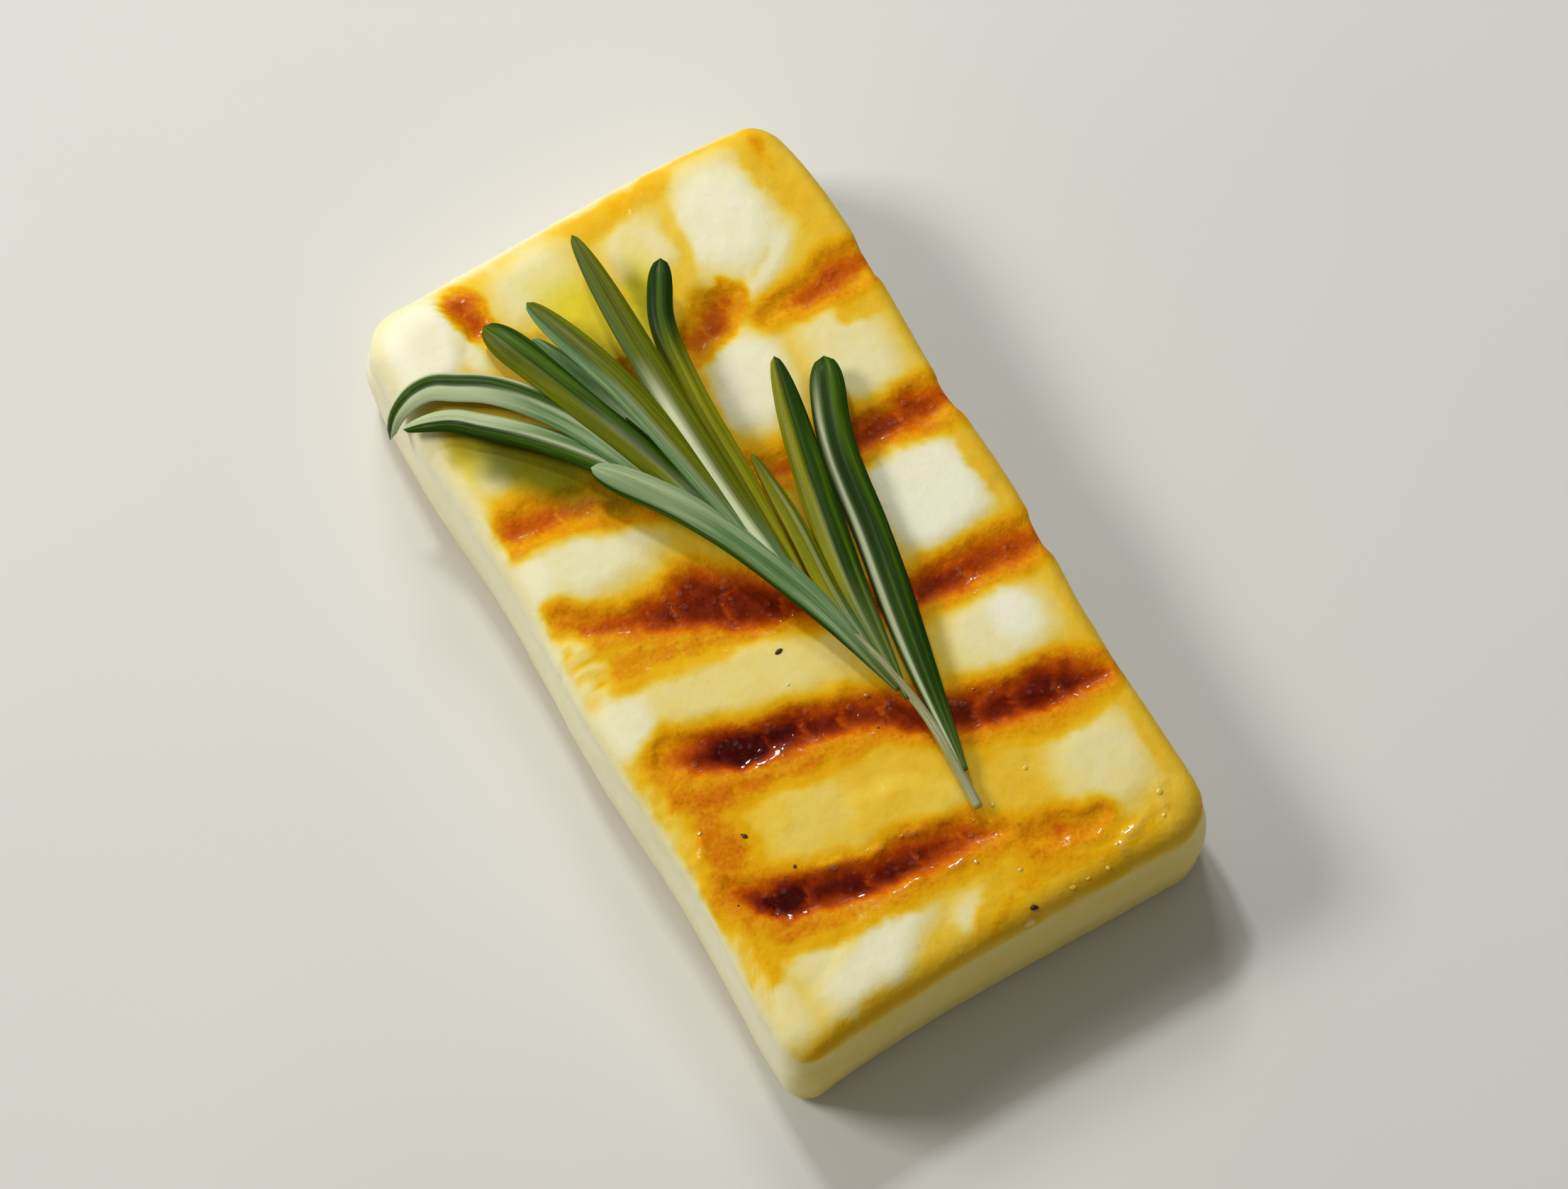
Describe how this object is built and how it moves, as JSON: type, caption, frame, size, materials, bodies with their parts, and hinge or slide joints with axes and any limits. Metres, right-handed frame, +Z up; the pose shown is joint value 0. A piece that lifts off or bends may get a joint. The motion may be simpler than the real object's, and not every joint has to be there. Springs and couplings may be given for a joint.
{
  "type": "grilled halloumi slice",
  "caption": "Grilled halloumi slice: a soft-edged slab of cheese with browned, slanted grill bars on its top and a rosemary sprig lying across it.",
  "frame": {"origin": "under the middle of the whole part's box, on the surface that the slice lies on", "axes": "+X along the slice, +Y across it towards the long edge that the sprig doesn't overhang, +Z up out of the grilled top"},
  "size_m": [0.075, 0.0434, 0.0183],
  "materials": {
    "cheese": "soft cream cheese, browned golden to dark brown where it was grilled, shiny with oil",
    "rosemary": "dark green, slightly waxy needles, paler grey-green beneath and along their rolled edges"
  },
  "bodies": {
    "root": {"halloumi_slice": "cheese", "rosemary_sprig": "rosemary"}
  },
  "joints": []
}
